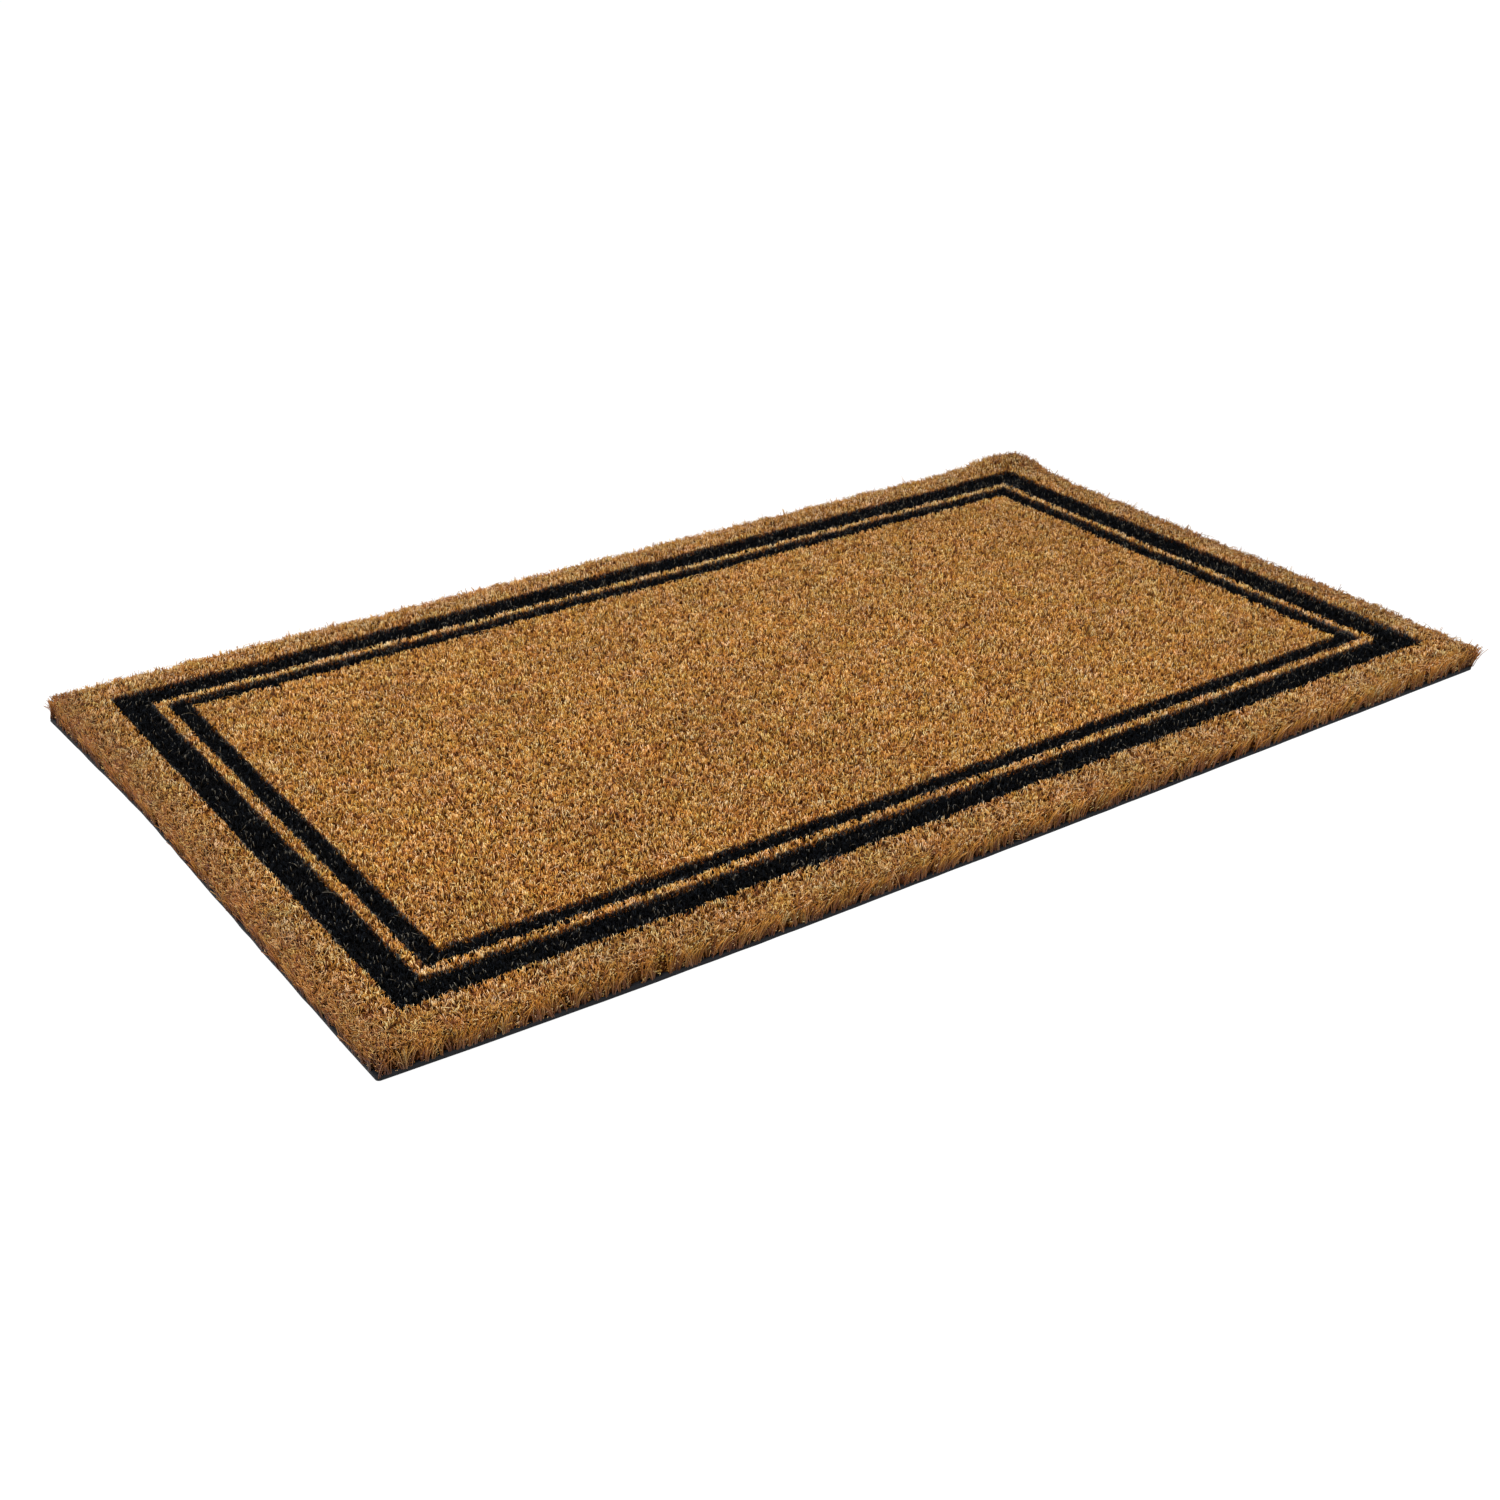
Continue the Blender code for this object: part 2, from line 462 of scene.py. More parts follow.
def zone_of(x, y):
    """Which zone of the pile each point is in, by its number in ZONES, where the print puts the bands."""
    right = HALF_X - FAR_INSET - x
    right = right + np.interp(right, RIGHT_BLEED_ENDS, (RIGHT_BLEED, 0))
    near, far = np.minimum(HALF_X + x, HALF_Y + y), np.minimum(right, HALF_Y - FAR_INSET - y)
    inset, bleed = np.minimum(near, far), np.where(far < near, FAR_BLEED, 0)
    limits = (MARGIN_INNER, BANDS[0][1] + bleed, BANDS[1][0], FIELD_INSET + bleed)
    return sum((inset >= limit).astype(int) for limit in limits)


def side_of(x, y):
    """Which side of the mat each point is nearest to, by its number in SIDES."""
    distances = np.stack([HALF_Y + y, HALF_X - x, HALF_Y - y, HALF_X + x])
    return distances.argmin(axis=0)


def outward_at(x, y):
    """The way out of the mat over the side that each point is nearest to."""
    by_end = HALF_X - np.abs(x) < HALF_Y - np.abs(y)
    return np.column_stack([np.where(by_end, np.sign(x), 0), np.where(by_end, 0, np.sign(y))])


def outward_from(along):
    """The way out of the mat, square to the way along its outline."""
    return np.stack([along[:, 1], -along[:, 0]], axis=1)


def scattered(count):
    """Random places all over the mat."""
    reach_x, reach_y = HALF_X - ROOT_INSET, HALF_Y - ROOT_INSET
    return rng.uniform(-reach_x, reach_x, count), rng.uniform(-reach_y, reach_y, count)


def drawn_tones(mean, spread, count):
    """Random tones for that many fibres."""
    return clipped(rng.normal(mean, spread, count))


def grown(roots, heading, lean, length, turn, segments):
    """Points along each fibre, from its root: it leans over from lean[0] to lean[1] as its heading turns."""
    points = [roots]
    for k in range(segments):
        share = (k + 0.5) / segments
        tilt = lean[0] + (lean[1] - lean[0]) * share
        way = heading + turn * share
        step = np.stack([np.sin(tilt) * np.cos(way), np.sin(tilt) * np.sin(way), np.cos(tilt)], axis=1)
        points.append(points[-1] + step * (length / segments)[:, None])
    return np.stack(points, axis=1)


def cut_to(spines, tip_height):
    """The same fibres, stretched or squeezed upwards so that each tip is at its height."""
    root = spines[:, :1, 2]
    rise = np.maximum(spines[:, -1:, 2] - root, LEAST_RISE)
    spines[:, :, 2] = root + (spines[:, :, 2] - root) * (tip_height[:, None] - root) / rise
    return spines


# ---------------------------------------------------------------- meshes

def add_mesh(name, points, loops, sizes, values=None):
    """A smooth mesh object from flat arrays: its faces' corners, each face's size, and named point values."""
    mesh = bpy.data.meshes.new(name)
    mesh.vertices.add(len(points))
    mesh.vertices.foreach_set("co", stretched(points).astype(np.float32).ravel())
    mesh.loops.add(len(loops))
    mesh.loops.foreach_set("vertex_index", loops.astype(np.int32))
    mesh.polygons.add(len(sizes))
    starts = np.concatenate([[0], np.cumsum(sizes)[:-1]])
    mesh.polygons.foreach_set("loop_start", starts.astype(np.int32))
    mesh.update(calc_edges=True)
    mesh.shade_smooth()
    for key, value in (values or {}).items():
        attribute = mesh.attributes.new(key, "FLOAT", "POINT")
        attribute.data.foreach_set("value", value.astype(np.float32))
    obj = bpy.data.objects.new(name, mesh)
    bpy.context.scene.collection.objects.link(obj)
    return obj


def tube_points(spines, radius):
    """The corners of a tube round each spine, ring by ring, thinner towards its tip."""
    count, rings = spines.shape[:2]
    spin = rng.normal(size=(count, 3))
    corners = []
    for r in range(rings):
        along = unit(spines[:, min(r + 1, rings - 1)] - spines[:, max(r - 1, 0)])
        across = unit(np.cross(along, spin))
        up = np.cross(along, across)
        thickness = radius * (1.0 - FIBRE_TAPER * r / (rings - 1))
        for side in range(TUBE_SIDES):
            angle = math.tau * side / TUBE_SIDES
            offset = math.cos(angle) * across + math.sin(angle) * up
            corners.append(spines[:, r] + offset * thickness[:, None])
    return np.stack(corners, axis=1)


def tube_faces(rings):
    """The faces of one tube with cut ends, as its corners' numbers."""
    n = TUBE_SIDES
    faces = [
        (n * r + s, n * r + (s + 1) % n, n * (r + 1) + (s + 1) % n, n * (r + 1) + s)
        for r in range(rings - 1)
        for s in range(n)
    ]
    return faces + [tuple(reversed(range(n))), tuple(range(n * (rings - 1), n * rings))]


def add_fibres(name, spines, radius, tone, root_shade_level):
    """Closed tubes along the spines, each with its tone and its own patch of the bake's UV map.

    Their painted shade of depth goes from the given level at their roots to 1, no shade, at the tips."""
    count, rings = spines.shape[:2]
    points = tube_points(spines, radius)
    faces = tube_faces(rings)
    each = TUBE_SIDES * rings
    pattern = np.array([corner for face in faces for corner in face])
    loops = (np.arange(count)[:, None] * each + pattern).ravel()
    sizes = np.tile([len(face) for face in faces], count)

    level = np.repeat(np.arange(rings), TUBE_SIDES) / (rings - 1)
    values = {"tone": np.repeat(tone, each), "along": np.tile(root_shade_level + (1 - root_shade_level) * level, count)}
    obj = add_mesh(name, points.reshape(-1, 3), loops, sizes, values)

    cells = math.ceil(math.sqrt(count))
    place = np.stack([np.arange(count) % cells, np.arange(count) // cells], axis=1)
    within = np.stack([np.tile(PATCH_COLUMNS, rings), PATCH_EDGE + (1 - 2 * PATCH_EDGE) * level], axis=1)
    uv = (place[:, None] + within).reshape(-1, 2) / cells
    layer = obj.data.uv_layers.new(name="OFBake")
    layer.data.foreach_set("uv", uv[loops].astype(np.float32).ravel())
    return obj


# ---------------------------------------------------------------- materials

class Graph:
    """Short ways to add nodes to a new material's tree."""

    def __init__(self, name):
        self.material = bpy.data.materials.new(name)
        self.material.use_nodes = True
        self.tree = self.material.node_tree
        self.shader = self.tree.nodes["Principled BSDF"]

    def put(self, value, socket):
        """Links a socket to this one, or sets this one's own value."""
        if isinstance(value, bpy.types.NodeSocket):
            self.tree.links.new(value, socket)
        else:
            socket.default_value = value

    def surface(self, colour, roughness, shine):
        """Sets the shader's colour, roughness and specular level, and gives the material."""
        self.put(colour, self.shader.inputs["Base Color"])
        self.shader.inputs["Roughness"].default_value = roughness
        self.shader.inputs["Specular IOR Level"].default_value = shine
        return self.material

    def attribute(self, name):
        node = self.tree.nodes.new("ShaderNodeAttribute")
        node.attribute_name = name
        return node.outputs["Fac"]

    def place(self):
        return self.tree.nodes.new("ShaderNodeTexCoord").outputs["Object"]

    def split(self, vector):
        node = self.tree.nodes.new("ShaderNodeSeparateXYZ")
        self.put(vector, node.inputs[0])
        return node.outputs

    def math(self, operation, *values, clamp=False):
        node = self.tree.nodes.new("ShaderNodeMath")
        node.operation = operation
        node.use_clamp = clamp
        for value, socket in zip(values, node.inputs):
            self.put(value, socket)
        return node.outputs[0]

    def product(self, value, *others):
        """All the values, multiplied."""
        for other in others:
            value = self.math("MULTIPLY", value, other)
        return value

    def swing(self, value, reach):
        """A value from 0 to 1, as a swing to both sides of 0 that is reach long in all."""
        return self.math("MULTIPLY", self.math("SUBTRACT", value, 0.5), reach)

    def span(self, value, low, high, to_low=0.0, to_high=1.0):
        """The value, taken from low..high to to_low..to_high and kept there."""
        node = self.tree.nodes.new("ShaderNodeMapRange")
        for given, key in zip((value, low, high, to_low, to_high), ("Value", 1, 2, 3, 4)):
            self.put(given, node.inputs[key])
        return node.outputs[0]

    def noise(self, vector, scale, detail, stretch=(1, 1, 1)):
        mapping = self.tree.nodes.new("ShaderNodeMapping")
        mapping.inputs["Scale"].default_value = stretch
        self.put(vector, mapping.inputs["Vector"])
        node = self.tree.nodes.new("ShaderNodeTexNoise")
        node.inputs["Scale"].default_value = scale
        node.inputs["Detail"].default_value = detail
        self.put(mapping.outputs[0], node.inputs["Vector"])
        return node.outputs["Fac"]

    def ramp(self, value, stops):
        node = self.tree.nodes.new("ShaderNodeValToRGB")
        elements = node.color_ramp.elements
        for place, _ in stops[2:]:
            elements.new(place)
        for element, (place, colour) in zip(elements, stops):
            element.position = place
            element.color = (*colour, 1.0)
        self.put(value, node.inputs[0])
        return node.outputs[0]

    def mix(self, share, first, second, blend="MIX"):
        node = self.tree.nodes.new("ShaderNodeMix")
        node.data_type = "RGBA"
        node.blend_type = blend
        for given, socket in ((share, node.inputs[0]), (first, node.inputs[6]), (second, node.inputs[7])):
            if isinstance(given, tuple):
                given = (*given, 1.0)
            self.put(given, socket)
        return node.outputs[2]

    def tint(self, colour, by):
        """The colour, multiplied by another."""
        return self.mix(1.0, colour, by, "MULTIPLY")

    def bump(self, height, distance, strength=1.0):
        """Bumps on the shader's surface."""
        node = self.tree.nodes.new("ShaderNodeBump")
        node.inputs["Strength"].default_value = strength
        node.inputs["Distance"].default_value = distance
        self.put(height, node.inputs["Height"])
        self.put(node.outputs[0], self.shader.inputs["Normal"])


def print_place(g, place):
    """How far in from the print's own edge a place is, and how much wider the bands are there.

    The mat's bow is undone first, so that the bands bow with the mat."""
    x, y, _ = g.split(place)
    along = g.math("DIVIDE", x, HALF_X)
    forward = g.math("DIVIDE", y, -HALF_Y, clamp=True)
    middle = g.math("SUBTRACT", 1.0, g.math("MULTIPLY", along, along), clamp=True)
    skew = g.math("SUBTRACT", 1.0, g.math("MULTIPLY", along, BOW_SKEW))
    y = g.math("ADD", y, g.product(forward, middle, skew, FRONT_BOW))
    near = g.math("MINIMUM", g.math("ADD", HALF_X, x), g.math("ADD", HALF_Y, y))
    right, back = g.math("SUBTRACT", HALF_X - FAR_INSET, x), g.math("SUBTRACT", HALF_Y - FAR_INSET, y)
    right = g.math("ADD", right, g.span(right, *RIGHT_BLEED_ENDS, RIGHT_BLEED, 0.0))
    far = g.math("MINIMUM", right, back)
    bleed = g.math("MULTIPLY", g.math("LESS_THAN", far, near), FAR_BLEED)
    return g.math("MINIMUM", near, far), bleed


def printed(g, place, jitter):
    """Two shares, 1 in the dyed bands and 1 in the margin, whose edges wander a little and are fibrous."""
    inset, bleed = print_place(g, place)
    wander = g.swing(g.noise(place, *WANDER_NOISE), PRINT_WANDER)
    inset = g.math("ADD", inset, g.math("ADD", wander, g.swing(jitter, PRINT_FRAY)))
    soft = PRINT_SOFTNESS
    total = 0.0
    for start, end in BANDS:
        start, end = start - PRINT_BLEED, end + PRINT_BLEED
        past_start = g.span(inset, start - soft, start + soft)
        before_end = g.span(g.math("SUBTRACT", inset, bleed), end - soft, end + soft, 1.0, 0.0)
        total = g.math("ADD", total, g.product(past_start, before_end), clamp=True)
    margin = g.span(inset, MARGIN_INNER - soft, MARGIN_INNER + soft, 1.0, 0.0)
    return total, margin


def coir_colour(g, tone, along):
    """A fibre's colour: golden brown that varies by fibre and in patches, or near black with a painted sheen.
    Painted shade darkens its root, and the natural pile towards the mat's edges.
    """
    place = g.place()
    dyed, margin = printed(g, place, tone)
    yellow = g.span(g.noise(place, *YELLOW_NOISE), *PATCH_ENDS)
    red = g.span(g.noise(place, *RED_NOISE, stretch=RED_STRETCH), *PATCH_ENDS)
    natural = g.tint(g.ramp(tone, COIR), g.mix(yellow, PALE_TINT, YELLOW_TINT))
    natural = g.tint(natural, g.mix(red, RED_TINT, GREEN_TINT))
    natural = g.tint(natural, g.span(g.noise(place, *BROAD_NOISE), *BROAD_ENDS, *BROAD_CONTRAST))
    natural = g.mix(margin, natural, g.tint(natural, MARGIN_TINT))
    x, y, _ = g.split(place)
    # Painted shade: the natural pile darkens towards the mat's edges, most at its left and right ends.
    edge_shade = ((x, HALF_X, END_SHADE_REACH, END_SHADE), (y, HALF_Y, SIDE_SHADE_REACH, SIDE_SHADE))
    for coordinate, half, reach, tint in edge_shade:
        inset = g.math("SUBTRACT", half, g.math("ABSOLUTE", coordinate))
        natural = g.tint(natural, g.mix(g.span(inset, 0.0, reach), tint, NO_TINT))
    # Painted shade: the DEPTH ramp darkens each fibre towards its root, deep in the pile.
    return g.tint(g.mix(dyed, natural, g.ramp(tone, DYE_AND_SHEEN)), g.ramp(along, DEPTH))


def coir_material(name, shine):
    """Coir fibre: rough, with a weak sheen where it catches the light."""
    g = Graph(name)
    colour = coir_colour(g, g.attribute("tone"), g.attribute("along"))
    return g.surface(colour, FIBRE_ROUGHNESS, shine)


def undercoat_material():
    """The packed fibres under the top ones: the same colours, darkened with painted shade for their depth,
    most in the hollows between fine clumps.
    """
    g = Graph("coir_undercoat")
    clump = g.noise(g.place(), *UNDERCOAT_CLUMPS)
    tone = g.span(clump, *UNDERCOAT_TONES)
    # Painted shade: the undercoat is darkened as deep pile, most where its clumps are low.
    depth = g.span(clump, *UNDERCOAT_SHADE_DEPTHS)
    g.bump(clump, UNDERCOAT_BUMP)
    return g.surface(coir_colour(g, tone, depth), UNDERCOAT_ROUGHNESS, UNDERCOAT_SHINE)


def vinyl_material():
    """Charcoal vinyl, matt, with a fine pebbled skin."""
    g = Graph("vinyl_sheet")
    place = g.place()
    worn = g.span(g.noise(place, *VINYL_WEAR), *VINYL_WEAR_ENDS)
    g.bump(g.noise(place, *VINYL_PEBBLES), VINYL_BUMP, VINYL_BUMP_STRENGTH)
    return g.surface(g.mix(worn, *VINYL), VINYL_ROUGHNESS, VINYL_SHINE)


# ---------------------------------------------------------------- pieces

def finish_piece(obj, material, slot, *nodes):
    """Gives a piece its material, and hides the CAD parts that it stands for. The mat is one rigid body."""
    obj.data.materials.append(material)
    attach(obj, "root")
    if nodes:
        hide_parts(*nodes)
    return obj


def outline(inset, radius, step):
    """Points round the mat's outline, set in, with rounded corners, anticlockwise."""
    points = []
    for sign_x, sign_y, start in ((1, -1, -90), (1, 1, 0), (-1, 1, 90), (-1, -1, 180)):
        centre = Vector((sign_x * (HALF_X - inset - radius), sign_y * (HALF_Y - inset - radius)))
        turns = max(4, round(radius * math.pi / 2 / step))
        arc = [math.radians(start + 90 * k / turns) for k in range(turns + 1)]
        points += [centre + Vector((math.cos(a), math.sin(a))) * radius for a in arc]
    spaced = []
    for a, b in zip(points, points[1:] + points[:1]):
        pieces = max(1, round((b - a).length / step))
        spaced += [a.lerp(b, k / pieces) for k in range(pieces)]
    return np.array(spaced)


def vinyl_sheet():
    """The backing: a sheet with eased, slightly uneven cut edges, resting on the floor."""
    ring = outline(0.0, CORNER_RADIUS, SHEET_STEP)
    count = len(ring)
    outward = unit(ring)
    setback = SHEET_SETBACK + layered_noise(ring[:, 0], ring[:, 1], SHEET_EDGE_NOISE)
    edge = ring - outward * setback[:, None]
    ease = SHEET_EASE
    half = [(edge * scale, 0.0) for scale in SHEET_RINGS]
    for inset, height in ((ease, 0.0), (ease * 0.3, ease * 0.3), (0.0, ease)):
        half.append((edge - outward * inset, height))
    levels = half + [(at, SHEET_TOP - height) for at, height in reversed(half)]
    points = np.concatenate([
        np.column_stack([at, height + lift(at[:, 0], at[:, 1])])
        for at, height in levels
    ])
    here, after = np.arange(count), np.roll(np.arange(count), -1)
    band = np.stack([here, after, after + count, here + count], axis=1)
    bands = [band + r * count for r in range(len(levels) - 1)]
    top = (len(levels) - 1) * count + here
    loops = np.concatenate([np.concatenate(bands).ravel(), top, here[::-1]])
    sizes = np.array([4] * (len(bands) * count) + [count, count])
    sheet = add_mesh("vinyl_sheet", points, loops, sizes)
    sheet.data.set_sharp_from_angle(angle=SHEET_SHARP)
    return finish_piece(sheet, vinyl_material(), "vinyl", "vinyl_backing")


def undercoat():
    """The body of the pile, below the fibre ends: a closed, bumpy slab."""
    reach_x, reach_y = HALF_X - UNDERCOAT_INSET, HALF_Y - UNDERCOAT_INSET
    across, down = round(2 * reach_x / UNDERCOAT_CELL), round(2 * reach_y / UNDERCOAT_CELL)
    x, y = np.meshgrid(np.linspace(-reach_x, reach_x, across + 1), np.linspace(-reach_y, reach_y, down + 1),
                       indexing="ij")
    x, y = x.ravel(), y.ravel()
    top = cut_height(x, y) - UNDERCOAT_DEPTH + layered_noise(x, y, UNDERCOAT_NOISE)
    from_rim = edge_distance(x, y) - UNDERCOAT_INSET
    top -= UNDERCOAT_FALL * clipped(1 - from_rim / UNDERCOAT_FALL_WIDTH) ** 2
    grid = np.arange(len(x)).reshape(across + 1, down + 1)
    rim = np.concatenate([grid[:-1, 0], grid[-1, :-1], grid[:0:-1, -1], grid[0, :0:-1]])
    points = np.column_stack([x, y, top])
    base = np.column_stack([x[rim], y[rim], SHEET_TOP + lift(x[rim], y[rim])])
    cells = np.stack([grid[:-1, :-1], grid[1:, :-1], grid[1:, 1:], grid[:-1, 1:]], axis=-1).reshape(-1, 4)
    foot = len(points) + np.arange(len(rim))
    walls = np.stack([foot, np.roll(foot, -1), np.roll(rim, -1), rim], axis=-1)
    loops = np.concatenate([cells.ravel(), walls.ravel(), foot[::-1]])
    sizes = np.concatenate([np.full(len(cells) + len(walls), 4), [len(foot)]])
    slab = add_mesh("pile_undercoat", np.concatenate([points, base]), loops, sizes)
    return finish_piece(slab, undercoat_material(), "coir")


def top_fibres():
    """The cut fibre ends that cover the whole top, in small clumps: spines, radii and tones."""
    x, y = scattered(int(FIBRES_PER_M2 * 4 * HALF_X * HALF_Y))
    way, own = clumps(x, y)
    thinned = rng.uniform(size=len(x)) < THINNING_SHARE * own[:, 3] ** THINNING_POWER
    kept = (edge_distance(x, y) > ROOT_INSET) & thinned
    x, y, way, own = x[kept], y[kept], way[kept], own[kept]
    count = len(x)
    heading, lean = math.tau * own[:, 0], CLUMP_LEAN * own[:, 1]
    clump_tone, poke = own[:, 2] - 0.5, own[:, 4]
    at_edge = clipped(1 - edge_distance(x, y) / EDGE_REACH)
    zone = zone_of(x, y)
    surface = cut_height(x, y)
    depth = ROOT_DEPTH * rng.uniform(*DEPTH_SPREAD, count)
    drift = np.column_stack([np.cos(heading), np.sin(heading)]) * (depth * lean)[:, None]
    drift += rng.normal(0, TIP_SCATTER, (count, 2)) + CLUMP_PULL * way
    tip_height = surface + np.where(zone == MARGIN, *CLUMP_UNEVENNESS) * clump_tone
    tip_height += rng.normal(0, TIP_UNEVENNESS, count)
    poking = poke ** POKE_POWER + LONE_POKE * (rng.uniform(size=count) > LONE_RARITY)
    tip_height += EDGE_POKE * at_edge * (poking - POKE_MEAN)
    out = at_edge * (EDGE_LEAN + EDGE_ROUGHNESS * edge_lumps(x, y) + POKE_OUT * EDGE_POKE * poking)
    drift += outward_at(x, y) * out[:, None]
    tone = FIBRE_TONE + np.where(zone == MARGIN, *CLUMP_TONES) * clump_tone
    tone += rng.normal(0, FIBRE_TONE_SPREAD, count)
    tone = clipped(tone + np.where(zone == GAP_LINE, np.array(GAP_TONES)[side_of(x, y)], 0))
    roots = np.column_stack([x, y, surface - depth])
    tips = np.column_stack([x + drift[:, 0], y + drift[:, 1], tip_height])
    return np.stack([roots, tips], axis=1), rng.uniform(*FIBRE_RADIUS, count), tone


def bent_fibres():
    """Fibres whose ends lean over the others' tips, every way: spines, radii and tones."""
    x, y = scattered(int(BENT_PER_M2 * 4 * HALF_X * HALF_Y))
    count = len(x)
    roots = np.column_stack([x, y, cut_height(x, y) - BENT_DEPTH])
    lean = [rng.uniform(*ends, count) for ends in BENT_LEAN]
    length = rng.uniform(*BENT_LENGTH, count)
    heading = rng.uniform(0, math.tau, count)
    spines = grown(roots, heading, lean, length, rng.normal(0, BENT_TURN, count), BENT_SEGMENTS)
    tip_height = cut_height(spines[:, -1, 0], spines[:, -1, 1]) + rng.normal(BENT_ABOVE, BENT_ABOVE, count)
    tone = drawn_tones(*BENT_TONE, count)
    return cut_to(spines, tip_height), rng.uniform(*BENT_RADIUS, count), tone


def edge_tufts():
    """Bristles round the edge, in tufts that fan out from the sheet up to the pile's shoulder."""
    spines, tones = [], []
    for row in range(TUFT_ROWS):
        inset = TUFT_ROW_STEP * row
        ring = outline(TUFT_INSET + inset, max(CORNER_RADIUS - inset, LEAST_CORNER), TUFT_SPACING)
        count = len(ring)
        along = unit(np.roll(ring, -1, axis=0) - np.roll(ring, 1, axis=0))
        outward = outward_from(along)
        centre = ring + along * rng.normal(0, TUFT_JITTER[0], (count, 1))
        centre = centre + outward * rng.normal(0, TUFT_JITTER[1], (count, 1))
        tuft_lean = rng.normal(0, TUFT_LEAN, count) + layered_noise(ring[:, 0], ring[:, 1], SWAY_NOISE)
        tuft_out = rng.normal(TUFT_OUT - TUFT_OUT_STEP * row, TUFT_OUT_SPREAD, count)
        tuft_out += TUFT_LUMP_OUT * edge_lumps(ring[:, 0], ring[:, 1])
        tuft_tone = rng.normal(0, TUFT_TONES[0], count)
        for _ in range(TUFT_FIBRES):
            share = rng.normal(0, 1.0, count)
            deep = rng.normal(0, TUFT_JITTER[1], count)
            spot = centre + along * (TUFT_HALF_WIDTH * share)[:, None] + outward * deep[:, None]
            fan = np.tan(tuft_lean + TUFT_FAN * share + rng.normal(0, BRISTLE_LEAN, count))
            out = np.tan(np.clip(tuft_out + rng.normal(0, BRISTLE_LEAN, count), *BRISTLE_OUT_ENDS))
            push = along * fan[:, None] + outward * out[:, None]
            heading = np.arctan2(push[:, 1], push[:, 0])
            slope = np.arctan(np.linalg.norm(push, axis=1))
            foot = np.column_stack([spot, SHEET_TOP - TUFT_ROOTED + lift(spot[:, 0], spot[:, 1])])
            droop = np.abs(rng.normal(0, BRISTLE_DROOP, count))
            lean = (slope * BRISTLE_BEND[0], slope * BRISTLE_BEND[1] + droop)
            turn = rng.normal(0, BRISTLE_TURN, count)
            body = grown(foot, heading, lean, np.full(count, TUFT_LENGTH), turn, BENT_SEGMENTS)
            shortfall = BRISTLE_SHORTFALL * rng.uniform(size=count) ** 2
            tips = cut_height(body[:, -1, 0], body[:, -1, 1]) - shortfall
            stands = (side_gaps(spot[:, 0], spot[:, 1]) < GAP_OPEN) | (row == TUFT_ROWS - 1)
            spines.append(cut_to(body, np.minimum(tips, PILE_TOP + TUFT_ABOVE))[stands])
            tones.append((TUFT_TONE + tuft_tone + rng.normal(0, TUFT_TONES[1], count))[stands])
    spines, tones = np.concatenate(spines), np.concatenate(tones)
    return spines, rng.uniform(*FIBRE_RADIUS, len(spines)), clipped(tones)


def side_stubs():
    """Short fibre ends over the cut side of the pile, which point out and up: spines, radii and tones."""
    ring = outline(0.0, CORNER_RADIUS, STUB_RING_STEP)
    height = PILE_TOP - SHEET_TOP
    count = int(STUBS_PER_M2 * 4 * (HALF_X + HALF_Y) * height)
    at = rng.uniform(0, len(ring), count)
    i = at.astype(int)
    edge = np.roll(ring, -1, axis=0)[i] - ring[i]
    spot = ring[i] + edge * (at - i)[:, None]
    share = 1 - rng.uniform(size=count) ** STUB_CROWDING * STUB_REACH_DOWN
    way, own = clumps(at * STUB_RING_STEP + STUB_CLUMP_SHIFT, SHEET_TOP + height * share)
    kept = rng.uniform(size=count) < STUB_THINNING[0] + STUB_THINNING[1] * own[:, 3]
    spot, edge, share, way, own = (values[kept] for values in (spot, edge, share, way, own))
    count = len(share)
    length = rng.uniform(*STUB_LENGTH, count)
    climb = STUB_CLIMB + STUB_CLUMP_CLIMB * (own[:, 1] - 0.5) + rng.normal(0, STUB_SPREAD, count)
    slant = STUB_CLUMP_SLANT * (own[:, 0] - 0.5) + rng.normal(0, STUB_SPREAD, count)
    kept = share > side_gaps(spot[:, 0], spot[:, 1]) * rng.uniform(*GAP_RAGGEDNESS, count)
    spot, edge, share, way, own, length, climb, slant = (
        values[kept] for values in (spot, edge, share, way, own, length, climb, slant))
    count = len(share)
    along = unit(edge)
    outward = outward_from(along)
    climb = np.clip(climb, *STUB_CLIMB_ENDS)
    reach = STUB_REACH[0] + STUB_REACH[1] * share + STUB_CLUMP_REACH * (own[:, 2] - 0.5)
    reach += rng.normal(0, STUB_REACH_SPREAD, count)
    reach += STUB_ROUGHNESS * EDGE_ROUGHNESS * share * edge_lumps(spot[:, 0], spot[:, 1])
    reach -= STUB_SHOULDER * clipped(share - STUB_SHOULDER_FROM) / (1 - STUB_SHOULDER_FROM)
    tip = spot + outward * reach[:, None] + along * (CLUMP_PULL * way[:, 0])[:, None]
    back = tip - outward * (length * np.cos(climb))[:, None]
    back -= along * (STUB_SLANT_SHARE * length * np.sin(slant))[:, None]
    z = np.minimum(SHEET_TOP + height * share, cut_height(tip[:, 0], tip[:, 1]))
    z += STUB_LIFT_SHARE * lift(tip[:, 0], tip[:, 1])
    foot = np.maximum(z - length * np.sin(climb), SHEET_TOP)
    spines = np.stack([np.column_stack([back, foot]), np.column_stack([tip, z])], axis=1)
    tone = clipped(STUB_TONE + STUB_CLUMP_TONES * (own[:, 2] - 0.5) + rng.normal(0, STUB_TONE_SPREAD, count))
    return spines, rng.uniform(*FIBRE_RADIUS, count), tone


